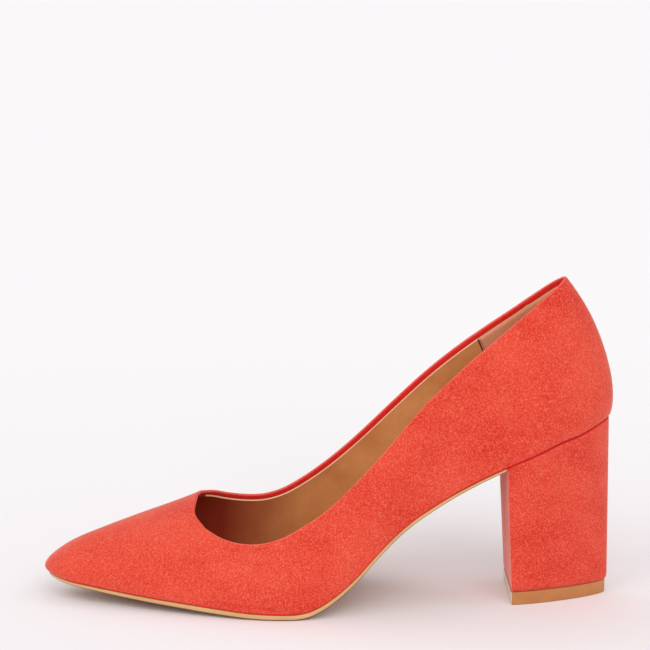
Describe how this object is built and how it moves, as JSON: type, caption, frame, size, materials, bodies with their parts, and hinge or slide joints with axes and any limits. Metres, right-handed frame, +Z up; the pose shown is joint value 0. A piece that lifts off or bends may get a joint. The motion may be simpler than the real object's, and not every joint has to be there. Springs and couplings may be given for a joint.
{
  "type": "block heel pump",
  "caption": "Suede pump for the left foot: pointed toe, low topline rising to a high back, slim sole and a straight covered block heel.",
  "frame": {"origin": "centre of the bounding box, on the floor", "axes": "+Z up; the toe points along -X; the outer side of the foot is -Y"},
  "size_m": [0.2422, 0.0756, 0.138],
  "materials": {
    "suede": "napped suede, matt",
    "heel_suede": "napped suede wrapped on the heel block, matt",
    "sock_leather": "smooth tan leather, satin",
    "sole_rubber": "smooth tan rubber, satin",
    "lift_rubber": "hard tan rubber, satin"
  },
  "bodies": {
    "root": {"upper": "suede", "insole": "sock_leather", "outsole": "sole_rubber", "heel": "heel_suede", "top_lift": "lift_rubber"}
  },
  "joints": []
}
